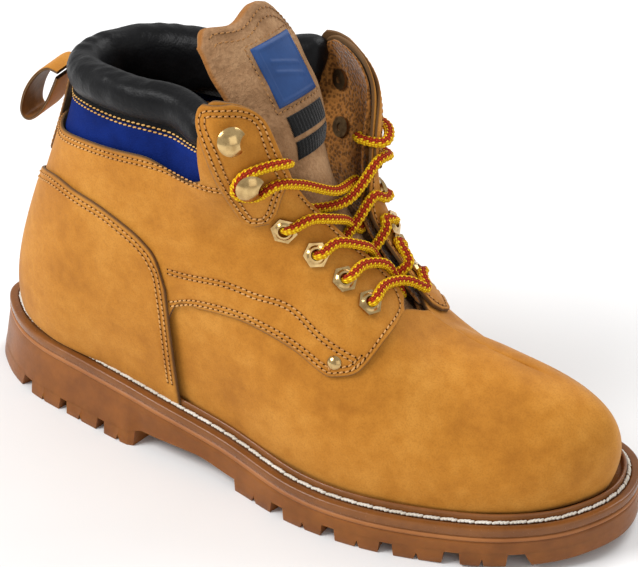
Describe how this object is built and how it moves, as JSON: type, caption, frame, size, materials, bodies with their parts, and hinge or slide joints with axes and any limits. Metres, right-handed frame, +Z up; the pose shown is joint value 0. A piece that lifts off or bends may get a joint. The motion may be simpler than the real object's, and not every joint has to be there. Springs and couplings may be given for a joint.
{
  "type": "safety boot",
  "caption": "Ankle-height lace-up safety boot with steel toe cap, lugged rubber sole, padded collar, free tongue and pull loop, right foot",
  "frame": {"origin": "on the ground under the middle of the outsole", "axes": "+X to the toe, +Y to the inner side of the foot, +Z up"},
  "size_m": [0.3138, 0.113, 0.2072],
  "materials": {
    "gum": "satin",
    "stripe": "satin",
    "welt": "satin",
    "thread": "matte",
    "steel": "satin",
    "cork": "matte",
    "board": "matte",
    "lining": "matte",
    "black_rubber": "matte",
    "nubuck": "matte",
    "blue_cloth": "matte",
    "black_leather": "satin",
    "foam": "matte",
    "edge_leather": "satin",
    "suede": "matte",
    "blue_rubber": "satin",
    "black_cloth": "matte",
    "brass": "polished",
    "brass_dull": "satin",
    "lace": "matte"
  },
  "bodies": {
    "boot": {"outsole": "gum", "midsole": "stripe", "welt": "welt", "welt_stitching": "thread", "steel_plate": "steel", "filler": "cork", "shank": "steel", "insole_board": "board", "footbed": "lining", "toe_cap": "steel", "toe_cap_trim": "black_rubber", "heel_stiffener": "board", "vamp": "nubuck", "vamp_lining": "lining", "quarter_lateral": "nubuck", "quarter_medial": "nubuck", "quarter_lining": "lining", "heel_panel": "nubuck", "backstay": "nubuck", "collar_band": "blue_cloth", "collar_cover": "black_leather", "collar_foam": "foam", "hook_facing_lateral": "nubuck", "hook_facing_medial": "nubuck", "tongue_base": "suede", "gusset_lateral": "suede", "gusset_medial": "suede", "eyelets_lateral": "brass", "eyelets_medial": "brass", "hooks_lateral": "brass", "hooks_medial": "brass", "hook_backs": "brass_dull", "vamp_rivets": "brass", "lace": "lace"},
    "tongue": {"tongue_flap": "suede", "tongue_patch": "blue_rubber", "tongue_tabs": "black_cloth"},
    "loop": {"pull_loop": "edge_leather"}
  },
  "joints": [
    {"name": "tongue_fold", "type": "hinge", "parent": "boot", "child": "tongue", "pos_m": [0.0019, 0, 0.149], "axis": [0, 1, 0], "range_deg": [-8, 28], "stiffness_Nm_per_rad": 0.3},
    {"name": "loop_swing", "type": "hinge", "parent": "boot", "child": "loop", "pos_m": [-0.1215, 0.001, 0.1537], "axis": [0, 1, 0], "range_deg": [-8, 70], "stiffness_Nm_per_rad": 0.02}
  ]
}
